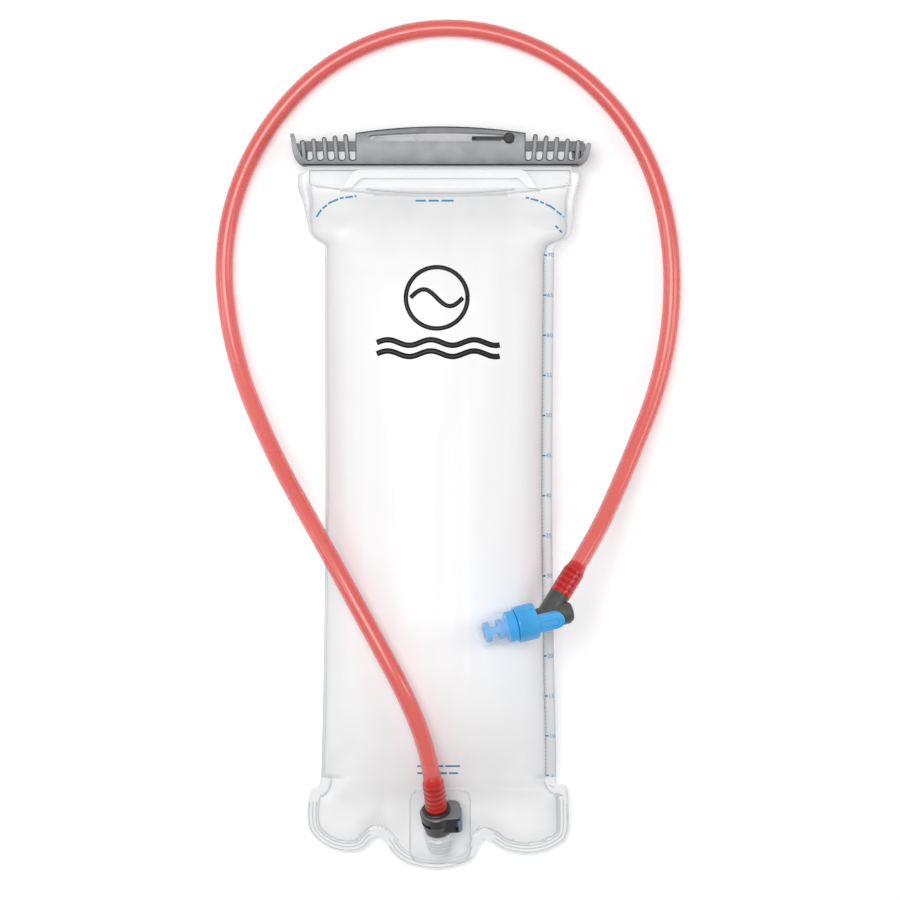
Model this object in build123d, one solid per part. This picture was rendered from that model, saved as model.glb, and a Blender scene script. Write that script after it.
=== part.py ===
from build123d import *
import math
import os

# Hydration bladder, lying on its back: a film reservoir with a slide-seal mouth, a quick-connect
# port and a drink tube that loops round it to a bite valve. Millimetres.
# +X across the reservoir, +Y from the port to the slide bar, +Z up. The origin is at the centre
# of the reservoir's footprint, on the surface that it lies on.

# ---- driving dimensions ----
FILM = 0.5                     # film thickness
MOUTH_Z = 17.6                 # height of the plane where the two films meet at the mouth
MOUTH_TOP_Y = 188.0            # upper edge of the films, inside the slide bar
RAIL_X = (-71.8, 70.9)         # ends of the mouth rails
RAIL_T = 1.2                   # rail plate thickness

BAR_HALF = 81.3                # slide bar, half length
BAR_DEPTH = 13.5               # slide bar, thickness in Z
BAR_Y = (180.3, 193.6)         # slide bar, lower edge and top of its solid bar
ARCH_X = 46.0                  # handle arch, half length
ARCH_Y = (198.0, 201.5)        # handle arch, height at its ends and at the middle
CHANNEL_Y = (183.0, 188.4)     # channel for the rails' beads
CHANNEL_HALF = 4.25            # channel, half height in Z
THROAT_HALF = 2.0              # throat for the rails' stems, half height in Z
CHANNEL_END = 76.0             # the channel's closed end
WINDOW_Y, WINDOW_R = 183.3, 1.7                       # round bottoms of the windows between the ribs
BEAM_Y = 184.6                 # top of the beam under the ribs
RIB_FIRST, RIB_PITCH, RIB_COUNT, RIB_WIDTH = 50.0, 5.85, 5, 2.6
RIB_TOP_Y = (197.4, 194.2)     # tops of the innermost and outermost rib
RIB_LEAN = 1.3                 # how far a rib's top leans outwards

AXIS = Vector(-0.07, 0.805, 0.589).normalized()      # the quick connect points up and towards +Y
CONNECT = Vector(-1.2, -179.1, 22.0)                 # centre of the socket's lower face
SOCKET_L, SOCKET_R, SOCKET_FOOT_R, BORE_R = 14.0, 9.0, 7.1, 5.3
HOUSING_X, HOUSING_Y = 12.8, (-7.5, 8.6)             # the button housing beside the socket
SPIGOT_R, FLANGE_R, BARB_R, FLOW_R = 5.0, 7.6, 3.1, 2.1
SPIGOT_S = 6.1                 # end of the plug's nose, along AXIS from CONNECT
FLANGE_S = (14.3, 15.9)        # the plug's flange
LATCH_S = (7.9, 9.3)           # latch plate

TUBE_R, TUBE_BORE = 4.75, 3.175
BARB_L = 13.0

REARWARD = Vector(0.9576, 0.2299, -0.1736).normalized()   # the bite valve's axis, tip to rear
VALVE_TIP = Vector(21.1, -71.3, 64.5)
BRANCH = Vector(0.518, 0.798, -0.309).normalized()        # the elbow's branch, towards the tube
JUNCTION_W, BRANCH_L = 36.1, 15.0
COLLAR_W, COLLAR_R = (19.9, 31.0), 9.75
LEVER_TURN = 20                # the lever's turn about the valve's axis, away from straight up
BARREL_W, BARREL_R, BRANCH_R = (31.3, 50.1), 6.05, 5.65
VALVE_RING_W = (26.4, 29.4)    # O-rings on the elbow's spigot

SPOUT_FOOT = (-1.0, -186.6)    # where the spout passes through the film
FOOT_R = 6.4
KNOB_X, KNOB_Y = 37.0, 195.1   # the leash's knob

PLUG_PLANE = Plane(origin=CONNECT, x_dir=(1, 0, 0), z_dir=AXIS)
VALVE_PLANE = Plane(origin=VALVE_TIP, x_dir=(0, 0, 1), z_dir=REARWARD)
TUBE_START = CONNECT + AXIS * FLANGE_S[1]
TUBE_END = VALVE_TIP + REARWARD * JUNCTION_W + BRANCH * BRANCH_L

# The drink tube's route, from the plug's flange over the belly, round the slide bar on the
# surface and back up to the valve.
ROUTE = [
    TUBE_START,
    TUBE_START + AXIS * 26.0,
    (-14.5, -111.0, 64.5),
    (-38.5, -67.0, 65.0),
    (-64.0, -21.0, 53.0),
    (-91.3, 26.0, 28.0),
    (-113.7, 80.0, 7.5),
    (-120.1, 139.9, 5.0),
    (-100.9, 196.4, 5.0),
    (-59.1, 241.3, 5.0),
    (0.1, 260.2, 5.0),
    (60.5, 245.5, 5.0),
    (105.4, 203.6, 5.0),
    (126.8, 146.0, 5.0),
    (124.5, 76.0, 6.0),
    (97.0, 8.0, 23.0),
    TUBE_END + BRANCH * 34.0,
    TUBE_END,
]

# The pillow's stations: Y, the bulge's left and right edge, and the heights of its top, of the
# seam and of its underside. Where top and underside are None the two films lie flat together.
STATIONS = [
    (189.0, -80.0, 80.0, None, MOUTH_Z, None),
    (167.0, -76.0, 76.0, None, MOUTH_Z, None),
    (158.0, -66.0, 64.0, 26.0, 18.2, 10.0),
    (146.0, -61.0, 58.0, 37.0, 20.5, 3.0),
    (130.0, -60.0, 55.4, 46.0, 23.0, 0.0),
    (105.0, -60.0, 55.4, 53.0, 24.0, 0.0),
    (70.0, -60.0, 55.4, 56.0, 24.0, 0.0),
    (-60.0, -60.0, 55.4, 56.0, 24.0, 0.0),
    (-90.0, -60.0, 55.8, 54.0, 23.0, 0.0),
    (-110.0, -61.0, 56.4, 49.5, 21.5, 0.0),
    (-130.0, -61.5, 57.0, 41.0, 19.0, 0.0),
    (-150.0, -62.0, 57.5, 28.0, 14.5, 0.0),
    (-170.0, -64.0, 61.0, 12.5, 9.0, 4.0),
    (-184.0, -62.0, 60.0, None, 7.0, None),
    (-203.0, -62.0, 60.0, None, 6.0, None),
]
LOFT_X = 90.0
CROWN_N = 2.4                  # superellipse exponent of the belly's crown
UNDERSIDE_CORNER = 0.26        # share of the width taken by each rounded lower corner


# ---- helpers ----
def block(x0, x1, y0, y1, z0, z1):
    return Pos((x0 + x1) / 2, (y0 + y1) / 2, (z0 + z1) / 2) * Box(x1 - x0, y1 - y0, z1 - z0)


def rod(plane, s0, s1, radius, x=0.0, y=0.0):
    return plane * Pos(x, y, (s0 + s1) / 2) * Cylinder(radius, s1 - s0)


def sleeve(plane, s0, s1, outer, inner):
    return rod(plane, s0, s1, outer) - rod(plane, s0 - 1, s1 + 1, inner)


def ring(plane, s, major, minor):
    return plane * Pos(0, 0, s) * Torus(major, minor)


def turned(plane, outline):
    """A solid turned about the plane's Z axis from points of (radius, height)."""
    profile = make_face(Polyline([(r, 0, s) for r, s in outline], close=True))
    return plane * revolve(profile, Axis.Z)


# ---- the reservoir's films ----
def crown(y, left, right, base, height):
    """The belly's upper curve over one station, from left to right."""
    middle, half = (left + right) / 2, (right - left) / 2
    points = []
    for degrees in (180, 168, 150, 125, 90, 55, 30, 12, 0):
        c, s = math.cos(math.radians(degrees)), math.sin(math.radians(degrees))
        u = math.copysign(abs(c) ** (2 / CROWN_N), c)
        points.append((middle + half * u, y, base + height * abs(s) ** (2 / CROWN_N)))
    return Spline(points)


def corner(y, side_x, reach, base, depth):
    """A rounded lower corner, from the seam down to the flat underside."""
    points = []
    for degrees in (0, 22.5, 45, 67.5, 90):
        a = math.radians(degrees)
        points.append((side_x + reach * (1 - math.cos(a)), y, base - depth * math.sin(a)))
    return points


def front_section(station, skin, lift):
    y, left, right, top, seam, _ = station
    low, high = seam + lift, seam + lift + skin
    if top is None:
        rise_in, rise_out = 0.0, 0.0
    else:
        rise_in = top - seam - FILM
        rise_out = rise_in
    xl, xr = left - lift, right + lift
    inner = [Line((-LOFT_X, y, low), (xl, y, low)), crown(y, xl, xr, low, rise_in),
             Line((xr, y, low), (LOFT_X, y, low))]
    outer = [Line((LOFT_X, y, low), (LOFT_X, y, high)), Line((LOFT_X, y, high), (xr + skin, y, high)),
             crown(y, xl - skin, xr + skin, high, rise_out),
             Line((xl - skin, y, high), (-LOFT_X, y, high)), Line((-LOFT_X, y, high), (-LOFT_X, y, low))]
    return make_face(inner + outer)


def lower_edges(y, left, right, base, depth):
    reach = UNDERSIDE_CORNER * (right - left)
    first = corner(y, left, reach, base, depth)
    last = corner(y, right, -reach, base, depth)
    return [Spline(first), Line(first[-1], last[-1]), Spline(last[::-1])]


def back_section(station, skin):
    y, left, right, _, seam, bottom = station
    depth = 0.0 if bottom is None else seam - skin - bottom
    low = seam - skin
    inner = [Line((-LOFT_X, y, seam), (left, y, seam)), *lower_edges(y, left, right, seam, depth),
             Line((right, y, seam), (LOFT_X, y, seam))]
    outer = [Line((LOFT_X, y, seam), (LOFT_X, y, low)), Line((LOFT_X, y, low), (right + skin, y, low)),
             *lower_edges(y, left - skin, right + skin, low, depth),
             Line((left - skin, y, low), (-LOFT_X, y, low)), Line((-LOFT_X, y, low), (-LOFT_X, y, seam))]
    return make_face(inner + outer)


def film_outline():
    """The cut shape of both films: mouth, shoulders, long sides and three bottom lobes."""
    edges = [
        Polyline((-64.0, -154.2), (-64.7, -149.0), (-62.4, 0.0), (-62.6, 134.0), (-62.4, 136.4)),
        Spline((-62.4, 136.4), (-66.5, 138.6), (-70.1, 141.9), (-74.6, 161.1), (-77.3, 170.0)),
        Polyline((-77.3, 170.0), (-77.3, 176.7), (RAIL_X[0], 177.8), (RAIL_X[0], MOUTH_TOP_Y),
                 (RAIL_X[1], MOUTH_TOP_Y), (RAIL_X[1], 177.8), (75.9, 176.7), (75.9, 174.5)),
        Spline((75.9, 174.5), (72.6, 161.1), (69.8, 142.9), (65.4, 140.2), (60.8, 137.8)),
        Polyline((60.8, 137.8), (61.6, 133.6), (60.3, 0.0), (62.6, -149.0), (62.1, -154.0)),
        Spline((62.1, -154.0), (69.3, -166.0), (69.0, -180.5), (60.0, -190.0), (46.7, -193.1),
               (34.6, -190.9), (23.0, -184.5)),
        Spline((23.0, -184.5), (19.7, -190.3), (12.0, -198.8), (-1.9, -201.5), (-16.1, -199.4),
               (-29.0, -189.0), (-34.3, -183.4)),
        Spline((-34.3, -183.4), (-41.0, -189.2), (-51.4, -192.0), (-64.6, -187.0), (-72.6, -171.0),
               (-70.1, -158.3), (-64.0, -154.2)),
    ]
    return extrude(make_face(edges), 90)


def spout_hole():
    return Pos(SPOUT_FOOT[0], SPOUT_FOOT[1], 10) * Cylinder(FOOT_R, 40)


def front_panel():
    film = loft([front_section(s, FILM, 0.0) for s in STATIONS], ruled=True)
    return film & film_outline() - spout_hole()


def back_panel():
    film = loft([back_section(s, FILM) for s in STATIONS], ruled=True)
    return film & film_outline()


def port_patch():
    """The welded patch round the port: a rounded rectangle that follows the film."""
    skin = loft([front_section(s, 0.8, FILM + 0.02) for s in STATIONS[8:]], ruled=True)
    shape = Pos(-0.3, -177.5) * RectangleRounded(33.5, 42.6, 7.0)
    return skin & extrude(shape, 90) - spout_hole()


# ---- the mouth ----
def mouth_rail(side):
    """A moulded rail: plate, stem and bead. side is 1 for the front rail and -1 for the back."""
    def layer(x0, x1, y0, y1, near, far):
        z = sorted((MOUTH_Z + side * near, MOUTH_Z + side * far))
        return block(x0, x1, y0, y1, z[0], z[1])

    x0, x1 = RAIL_X
    near, far = FILM, FILM + RAIL_T
    rail = layer(x0, x1, 168.4, CHANNEL_Y[1] - 0.4, near, far)
    bead = layer(x0, x1, CHANNEL_Y[0] + 0.4, CHANNEL_Y[1] - 0.4, near, CHANNEL_HALF - 0.45)
    z = MOUTH_Z + side * far
    outer = fillet(Polygon((-53.0, 168.4), (-46.2, 178.2), (45.4, 178.2), (52.2, 168.4),
                           align=None).vertices().group_by(Axis.Y)[-1], 5.0)
    inner = fillet(Polygon((-48.4, 168.4), (-43.0, 173.8), (42.2, 173.8), (47.6, 168.4),
                           align=None).vertices().group_by(Axis.Y)[-1], 2.5)
    rib = extrude(Plane.XY.offset(z) * (outer - inner), 1.6, dir=(0, 0, side))
    return rail + bead + rib


def hang_tab():
    """A film tab on the back rail that stands up into the slide bar's slot, with a hang hole."""
    z0, z1 = MOUTH_Z - FILM - 0.5, MOUTH_Z - FILM
    tab = block(-36.0, 33.0, CHANNEL_Y[1] - 0.4, 196.2, z0, z1)
    hole = block(-13.9, 14.9, 193.5, 198.2, z0 - 1, z1 + 1)
    return tab - hole


# ---- the slide bar ----
def arch_shape():
    return make_face([
        Polyline((-ARCH_X, ARCH_Y[0]), (-ARCH_X, BAR_Y[0]), (ARCH_X, BAR_Y[0]), (ARCH_X, ARCH_Y[0])),
        ThreePointArc((ARCH_X, ARCH_Y[0]), (0, ARCH_Y[1]), (-ARCH_X, ARCH_Y[0])),
    ])


def slot_shape():
    return make_face([
        Line((-36.8, 193.4), (38.8, 193.4)),
        ThreePointArc((38.8, 193.4), (40.8, 195.1), (38.8, 196.8)),
        ThreePointArc((38.8, 196.8), (1.0, 198.4), (-36.8, 196.8)),
        ThreePointArc((-36.8, 196.8), (-38.8, 195.1), (-36.8, 193.4)),
    ])


def rib(i, side):
    """One upright rib, leaning outwards, with a rounded top and front."""
    share = i / (RIB_COUNT - 1)
    top = RIB_TOP_Y[0] + share * (RIB_TOP_Y[1] - RIB_TOP_Y[0])
    x, r = side * (RIB_FIRST + i * RIB_PITCH), RIB_WIDTH / 2
    foot = Vector(x, BAR_Y[0] + 1.0)
    head = Vector(x + side * RIB_LEAN * (top - BAR_Y[0]) / (RIB_TOP_Y[0] - BAR_Y[0]), top - r)
    up = (head - foot).normalized()
    across = Vector(up.Y, -up.X) * r
    shape = make_face([Polyline(head - across, foot - across, foot + across, head + across),
                       ThreePointArc(head + across, head + up * r, head - across)])
    low, high = MOUTH_Z - BAR_DEPTH / 2, MOUTH_Z + BAR_DEPTH / 2
    post = extrude(Plane.XY.offset(low) * shape, BAR_DEPTH)
    front = post.edges().group_by(Axis.Z)[-1]
    return fillet(front.filter_by(lambda e: e.center().Y > foot.Y + 0.1), 0.8)


def end_shape(side):
    """The curved end wall; the left one stands up as a fin."""
    if side < 0:
        outside = Spline((-74.6, 180.3), (-78.4, 183.6), (-80.2, 189.0), (-81.3, 196.4))
        tip = ThreePointArc((-81.3, 196.4), (-80.2, 197.7), (-78.9, 196.4))
        inside = Spline((-78.9, 196.4), (-77.6, 190.5), (-75.6, 185.9), (-72.4, 183.4))
    else:
        outside = Spline((74.6, 180.3), (78.6, 182.6), (80.7, 187.0), (81.3, 190.9))
        tip = ThreePointArc((81.3, 190.9), (80.5, 192.6), (78.8, 192.0))
        inside = Spline((78.8, 192.0), (77.9, 187.6), (76.4, 184.9), (73.0, 183.4))
    closing = Line(inside @ 1, outside @ 0)
    return make_face([outside, tip, inside, closing])


def face_shape():
    """The front outline: the arch and the beam under the ribs, with its round window bottoms."""
    shape = arch_shape()
    for side in (-1, 1):
        beam = Pos(side * 60.3, (BAR_Y[0] + BEAM_Y) / 2) * Rectangle(28.6, BEAM_Y - BAR_Y[0])
        for i in range(RIB_COUNT):
            x = side * (RIB_FIRST + (i - 0.5) * RIB_PITCH + 0.35)
            beam -= Pos(x, WINDOW_Y + WINDOW_R) * Circle(WINDOW_R)
        shape += beam
    return shape


def slide_bar():
    low, high = MOUTH_Z - BAR_DEPTH / 2, MOUTH_Z + BAR_DEPTH / 2
    shell = extrude(Plane.XY.offset(low) * face_shape(), BAR_DEPTH)
    shell = fillet(shell.edges().filter_by(Axis.Z, reverse=True).group_by(Axis.Z)[-1], 0.8)
    bar = shell + block(-76.2, 77.4, BEAM_Y, BAR_Y[1], low + 0.6, high - 2.9)
    bar += block(-78.0, 78.3, CHANNEL_Y[1], BAR_Y[1] - 1.2, low + 0.6, high - 2.9)
    for i in range(RIB_COUNT):
        bar += rib(i, -1) + rib(i, 1)
    for side in (-1, 1):
        bar += extrude(Plane.XY.offset(low) * end_shape(side), BAR_DEPTH)
    channel = block(-BAR_HALF - 1, CHANNEL_END, *CHANNEL_Y, MOUTH_Z - CHANNEL_HALF, MOUTH_Z + CHANNEL_HALF)
    throat = block(-BAR_HALF - 1, CHANNEL_END, BAR_Y[0] - 1, CHANNEL_Y[0] + 1,
                   MOUTH_Z - THROAT_HALF, MOUTH_Z + THROAT_HALF)
    slit = block(-40.0, 40.0, CHANNEL_Y[1] - 1, 195.0, MOUTH_Z - 1.5, MOUTH_Z + 0.5)
    slot = extrude(Plane.XY.offset(low - 1) * slot_shape(), BAR_DEPTH + 2)
    return bar - channel - throat - slit - slot


def leash_knob():
    """The leash's end: a stem in the slot with a round head in front of it."""
    top = MOUTH_Z + BAR_DEPTH / 2
    stem = Pos(KNOB_X, KNOB_Y, (MOUTH_Z + 1.0 + top + 0.4) / 2) * Cylinder(1.35, top - 0.6 - MOUTH_Z)
    head = Pos(KNOB_X, KNOB_Y, top + 1.3) * Cylinder(3.0, 1.8)
    return stem + fillet(head.edges().group_by(Axis.Z)[-1], 0.8)


def leash_strap():
    z = MOUTH_Z + 1.0
    return block(17.0, KNOB_X - 1.4, 194.1, 196.1, z, z + 1.0)


# ---- the port and the quick connect ----
def port_spout():
    """The corrugated neck between the patch and the socket."""
    outline = [(0, -0.05), (7.0, -0.05), (7.0, -1.6)]
    for i in range(4):
        s, big = -2.6 - i * 2.7, 7.9 - 0.65 * i
        outline += [(big, s), (big, s - 1.0), (big - 1.3, s - 1.5), (big - 1.3, s - 2.2)]
    outline += [(5.6, -13.6), (4.6, -14.3), (0, -14.3)]
    neck = turned(PLUG_PLANE, outline)
    foot = Pos(SPOUT_FOOT[0], SPOUT_FOOT[1], 10.9) * (Cylinder(FOOT_R - 0.1, 6.2) - Cylinder(4.0, 8))
    flow = rod(PLUG_PLANE, -12.0, 1.0, 4.05)
    return neck + foot - flow


def housing_shape(reach, front, rear):
    """The button housing's outline across the socket's axis, round at its rear corner."""
    corner_r = 4.5
    return make_face([
        Polyline((0, rear), (0, front), (reach, front), (reach, rear - corner_r)),
        RadiusArc((reach, rear - corner_r), (reach - corner_r, rear), -corner_r),
        Line((reach - corner_r, rear), (0, rear)),
    ])


def socket_body():
    """A tapered socket with the button's housing on its right."""
    body = turned(PLUG_PLANE, [(0, 0), (SOCKET_FOOT_R - 1.0, 0), (SOCKET_FOOT_R, 1.0), (SOCKET_R - 0.3, 8.0),
                               (SOCKET_R, SOCKET_L - 0.6), (SOCKET_R - 0.6, SOCKET_L), (0, SOCKET_L)])
    shape = housing_shape(HOUSING_X, *HOUSING_Y)
    housing = extrude(shape, SOCKET_L - 3.4)
    uprights = housing.edges().filter_by(Axis.Z)
    housing = fillet(uprights.filter_by(lambda e: e.center().Y < 0 < e.center().X), 1.6)
    housing = fillet(housing.edges().group_by(Axis.Z)[-1], 0.7)
    housing = fillet(housing.edges().group_by(Axis.Z)[0].filter_by(lambda e: e.center().X > 1), 1.3)
    housing = PLUG_PLANE * Pos(0, 0, 3.4) * housing
    tail = rod(PLUG_PLANE, -8.0, 0.5, 4.0)
    body = body + housing + tail
    body -= rod(PLUG_PLANE, 4.2, SOCKET_L + 1, BORE_R)
    body -= rod(PLUG_PLANE, 0.8, 4.3, 5.0)
    body -= rod(PLUG_PLANE, -6.0, 1.0, 3.0)
    body -= rod(PLUG_PLANE, -9.0, -5.9, 1.6)
    latch_s = sum(LATCH_S) / 2
    body -= PLUG_PLANE * Pos(0.25, 0, latch_s) * Box(20.5, 11.6, 2.0)
    body -= PLUG_PLANE * Pos(-6.7, -6.2, latch_s) * Box(6.6, 6.0, 2.0)
    body -= PLUG_PLANE * Pos(10.6, 0, 8.6) * Box(5.0, 9.2, 7.4)
    body -= PLUG_PLANE * Pos(11.6, -1.8, 8.6) * Box(3.5, 12.8, 7.4)
    return body


def socket_seal():
    return sleeve(PLUG_PLANE, 4.2, 5.5, BORE_R, 3.0)


def latch_plate():
    """The hole is long enough to clear the plug at both ends of the button's travel."""
    plate = PLUG_PLANE * Pos(1.5, 0, sum(LATCH_S) / 2) * Box(16.4, 11.2, LATCH_S[1] - LATCH_S[0])
    hole = rod(PLUG_PLANE, 7, 10, BORE_R) + rod(PLUG_PLANE, 7, 10, BORE_R, x=1.7)
    return plate - hole


def button():
    """The button's cap stands out of its housing's side and front, on a block in the housing."""
    cap = PLUG_PLANE * Pos(12.55, -1.8, 8.6) * Box(2.1, 12.0, 6.8)
    cap = fillet(cap.faces().sort_by(Axis.X)[-1].edges(), 0.8)
    stem = PLUG_PLANE * Pos(10.65, 0, 8.6) * Box(1.9, 8.4, 6.8)
    pocket = PLUG_PLANE * Pos(10.5, 2.4, 6.75) * Rot(0, 90, 0) * Cylinder(1.15, 2.0)
    return cap + stem - pocket


def button_spring():
    coil = Cylinder(1.0, 3.25) - Cylinder(0.6, 4)
    return PLUG_PLANE * Pos(9.8, 2.4, 6.75) * Rot(0, 90, 0) * coil


def poppet():
    return rod(PLUG_PLANE, 1.6, 2.6, 4.5) + rod(PLUG_PLANE, 2.5, 5.9, 1.2)


def poppet_spring():
    return sleeve(PLUG_PLANE, -5.85, 1.5, 2.6, 1.9)


def plug_body():
    outline = [
        (FLOW_R, SPIGOT_S), (4.4, SPIGOT_S), (SPIGOT_R, SPIGOT_S + 0.7), (SPIGOT_R, 7.5), (3.9, 7.7),
        (3.9, 9.5), (SPIGOT_R, 9.7), (SPIGOT_R, 11.6), (4.2, 11.6), (4.2, 13.0), (SPIGOT_R, 13.0),
        (SPIGOT_R, FLANGE_S[0]), (FLANGE_R - 0.3, FLANGE_S[0]), (FLANGE_R, FLANGE_S[0] + 0.3),
        (FLANGE_R, FLANGE_S[1] - 0.3), (FLANGE_R - 0.3, FLANGE_S[1]), (BARB_R, FLANGE_S[1]),
        (BARB_R, FLANGE_S[1] + BARB_L - 1.5), (FLOW_R + 0.4, FLANGE_S[1] + BARB_L),
        (FLOW_R, FLANGE_S[1] + BARB_L),
    ]
    return turned(PLUG_PLANE, outline)


def plug_o_ring():
    return ring(PLUG_PLANE, 12.3, 4.65, 0.4)


# ---- the drink tube ----
def corner_radii(points):
    """Each bend is as large as its two runs allow."""
    radii = []
    for a, b, c in zip(points, points[1:], points[2:]):
        turn = math.radians((b - a).get_angle(c - b))
        run = min((b - a).length, (c - b).length)
        radii.append(0.45 * run / math.tan(turn / 2))
    return radii


def drink_tube():
    points = [Vector(p) for p in ROUTE]
    radii = corner_radii(points)
    path = FilletPolyline(points, radius=radii)
    start = Plane(origin=points[0], z_dir=points[1] - points[0])
    section = start * (Circle(TUBE_R) - Circle(TUBE_BORE))
    tube = sweep(section, path=path)
    expected = math.pi * (TUBE_R ** 2 - TUBE_BORE ** 2) * path.length
    print("drink tube bend radii:", [round(r) for r in radii])
    print("drink tube length: %.1f mm, volume over section x length: %.4f"
          % (path.length, tube.volume / expected))
    return tube


# ---- the elbow and its shut-off ----
def valve_elbow():
    junction = VALVE_TIP + REARWARD * JUNCTION_W
    branch = Plane(origin=junction, z_dir=BRANCH)
    barrel = turned(VALVE_PLANE, [(0, BARREL_W[0]), (BARREL_R, BARREL_W[0]), (BARREL_R, BARREL_W[1] - 1.2),
                                  (BARREL_R - 0.4, BARREL_W[1] - 0.3), (BARREL_R - 1.0, BARREL_W[1]),
                                  (0, BARREL_W[1])])
    body = barrel + rod(branch, 0, BRANCH_L, BRANCH_R)
    body += rod(VALVE_PLANE, 24.9, BARREL_W[0] + 1, 4.5)
    body += rod(branch, BRANCH_L - 1, BRANCH_L + BARB_L, BARB_R)
    body -= rod(VALVE_PLANE, 24.0, 47.0, 3.0)
    body -= rod(VALVE_PLANE, 46.0, 51.0, 3.6)
    body -= rod(branch, 0, BRANCH_L + BARB_L + 1, FLOW_R)
    for w in VALVE_RING_W:
        body -= sleeve(VALVE_PLANE, w - 0.5, w + 0.5, 5.0, 4.0)
    return body


def valve_o_rings():
    return [ring(VALVE_PLANE, w, 4.4, 0.38) for w in VALVE_RING_W]


def elbow_end_cap():
    """A closed disc behind the barrel, small enough to pass the branch, with a plug in the bore."""
    rear, flange = BARREL_W[1], BARREL_R - 1.0
    return turned(VALVE_PLANE, [(0, 46.5), (3.4, 46.5), (3.4, rear), (flange, rear),
                                (flange, rear + 0.5), (flange - 0.7, rear + 1.2), (0, rear + 1.2)])


def tongue_part(inner, outer, length, width, start):
    """A round-ended tongue curved round the barrel, facing the lever's side."""
    shape = Pos(0, start + length / 2) * RectangleRounded(width, length, width / 2 - 0.1)
    facing = Plane(origin=(0, 0, 0), x_dir=(0, 1, 0), z_dir=(1, 0, 0))
    band = Pos(0, 0, 40) * (Cylinder(outer, 60) - Cylinder(inner, 62))
    return band & extrude(facing * shape, 20)


def shutoff_collar():
    """The turning collar, with its lever tongue over the elbow's barrel and a looped ridge on it."""
    collar = Pos(0, 0, sum(COLLAR_W) / 2) * (Cylinder(COLLAR_R, COLLAR_W[1] - COLLAR_W[0])
                                             - Cylinder(6.5, COLLAR_W[1] - COLLAR_W[0] + 2))
    collar = fillet(collar.edges().filter_by(GeomType.CIRCLE).sort_by(SortBy.RADIUS)[-2:], 0.8)
    flutes = []
    for k in range(15):
        flutes.append(Rot(0, 0, 85 + k * 230 / 14) * Pos(COLLAR_R + 0.25, 0, 25.5) * Cylinder(0.7, 8.0))
    tongue = tongue_part(6.45, 8.8, 18.6, 9.4, 26.4)
    ridge = tongue_part(8.7, 9.6, 14.4, 7.0, 29.2) - tongue_part(8.6, 9.7, 11.6, 4.2, 30.6)
    lever = Rot(0, 0, LEVER_TURN) * (tongue + ridge) - Pos(0, 0, 20) * Cylinder(6.6, 23)
    return VALVE_PLANE * (collar - flutes + lever)


def shutoff_spool():
    return sleeve(VALVE_PLANE, 25.2, 31.0, 6.5, 4.95)


# ---- the bite valve ----
def bite_core():
    """The stiff core: an open cage in front, a neck ring, and a spigot in the collar."""
    outline = [(3.6, 2.4), (5.0, 2.4), (5.4, 3.2), (5.4, 11.6), (4.9, 12.2), (4.9, 14.9), (8.4, 14.9),
               (8.4, 19.6), (6.2, 19.6), (6.2, 24.6), (3.6, 24.6)]
    core = turned(VALVE_PLANE, outline)
    for side in (-1, 1):
        core -= VALVE_PLANE * Pos(0, side * 5.8, 7.6) * Box(20, 8.0, 4.4)
    groove = sleeve(VALVE_PLANE, 21.6, 22.8, 7.0, 5.6)
    return core - groove


def bite_o_ring():
    return ring(VALVE_PLANE, 22.2, 5.9, 0.45)


def bite_sheath():
    """The silicone sheath, with a slit across its tip."""
    outline = [(0, 0.5), (3.8, 0.1), (6.9, 0.0), (7.9, 0.7), (8.1, 1.8), (7.5, 3.4), (7.6, 6.5), (8.4, 9.4),
               (9.2, 10.4), (9.2, 12.6), (8.8, 14.7), (5.6, 14.7), (5.6, 2.1), (0, 2.1)]
    slit = VALVE_PLANE * Pos(0, 0, 1.0) * Box(0.3, 7.0, 3.0)
    return turned(VALVE_PLANE, outline) - slit


NODES = {
    "front_panel": front_panel,
    "back_panel": back_panel,
    "front_mouth_rail": lambda: mouth_rail(1),
    "back_mouth_rail": lambda: mouth_rail(-1),
    "hang_tab": hang_tab,
    "slide_bar": slide_bar,
    "leash_knob": leash_knob,
    "leash_strap": leash_strap,
    "port_patch": port_patch,
    "port_spout": port_spout,
    "socket_body": socket_body,
    "socket_seal": socket_seal,
    "latch_plate": latch_plate,
    "release_button": button,
    "button_spring": button_spring,
    "poppet": poppet,
    "poppet_spring": poppet_spring,
    "plug_body": plug_body,
    "plug_o_ring": plug_o_ring,
    "drink_tube": drink_tube,
    "valve_elbow": valve_elbow,
    "valve_o_rings": valve_o_rings,
    "elbow_end_cap": elbow_end_cap,
    "shutoff_collar": shutoff_collar,
    "shutoff_spool": shutoff_spool,
    "bite_core": bite_core,
    "bite_o_ring": bite_o_ring,
    "bite_sheath": bite_sheath,
}

os.makedirs("parts", exist_ok=True)
for node, make in NODES.items():
    shape = make()
    if isinstance(shape, list):
        shape = Compound(shape)
    export_step(shape, "parts/%s.step" % node)
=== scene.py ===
import math

import bmesh
import bpy
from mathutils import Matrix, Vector, noise
from mathutils.bvhtree import BVHTree
from mathutils.kdtree import KDTree


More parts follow.
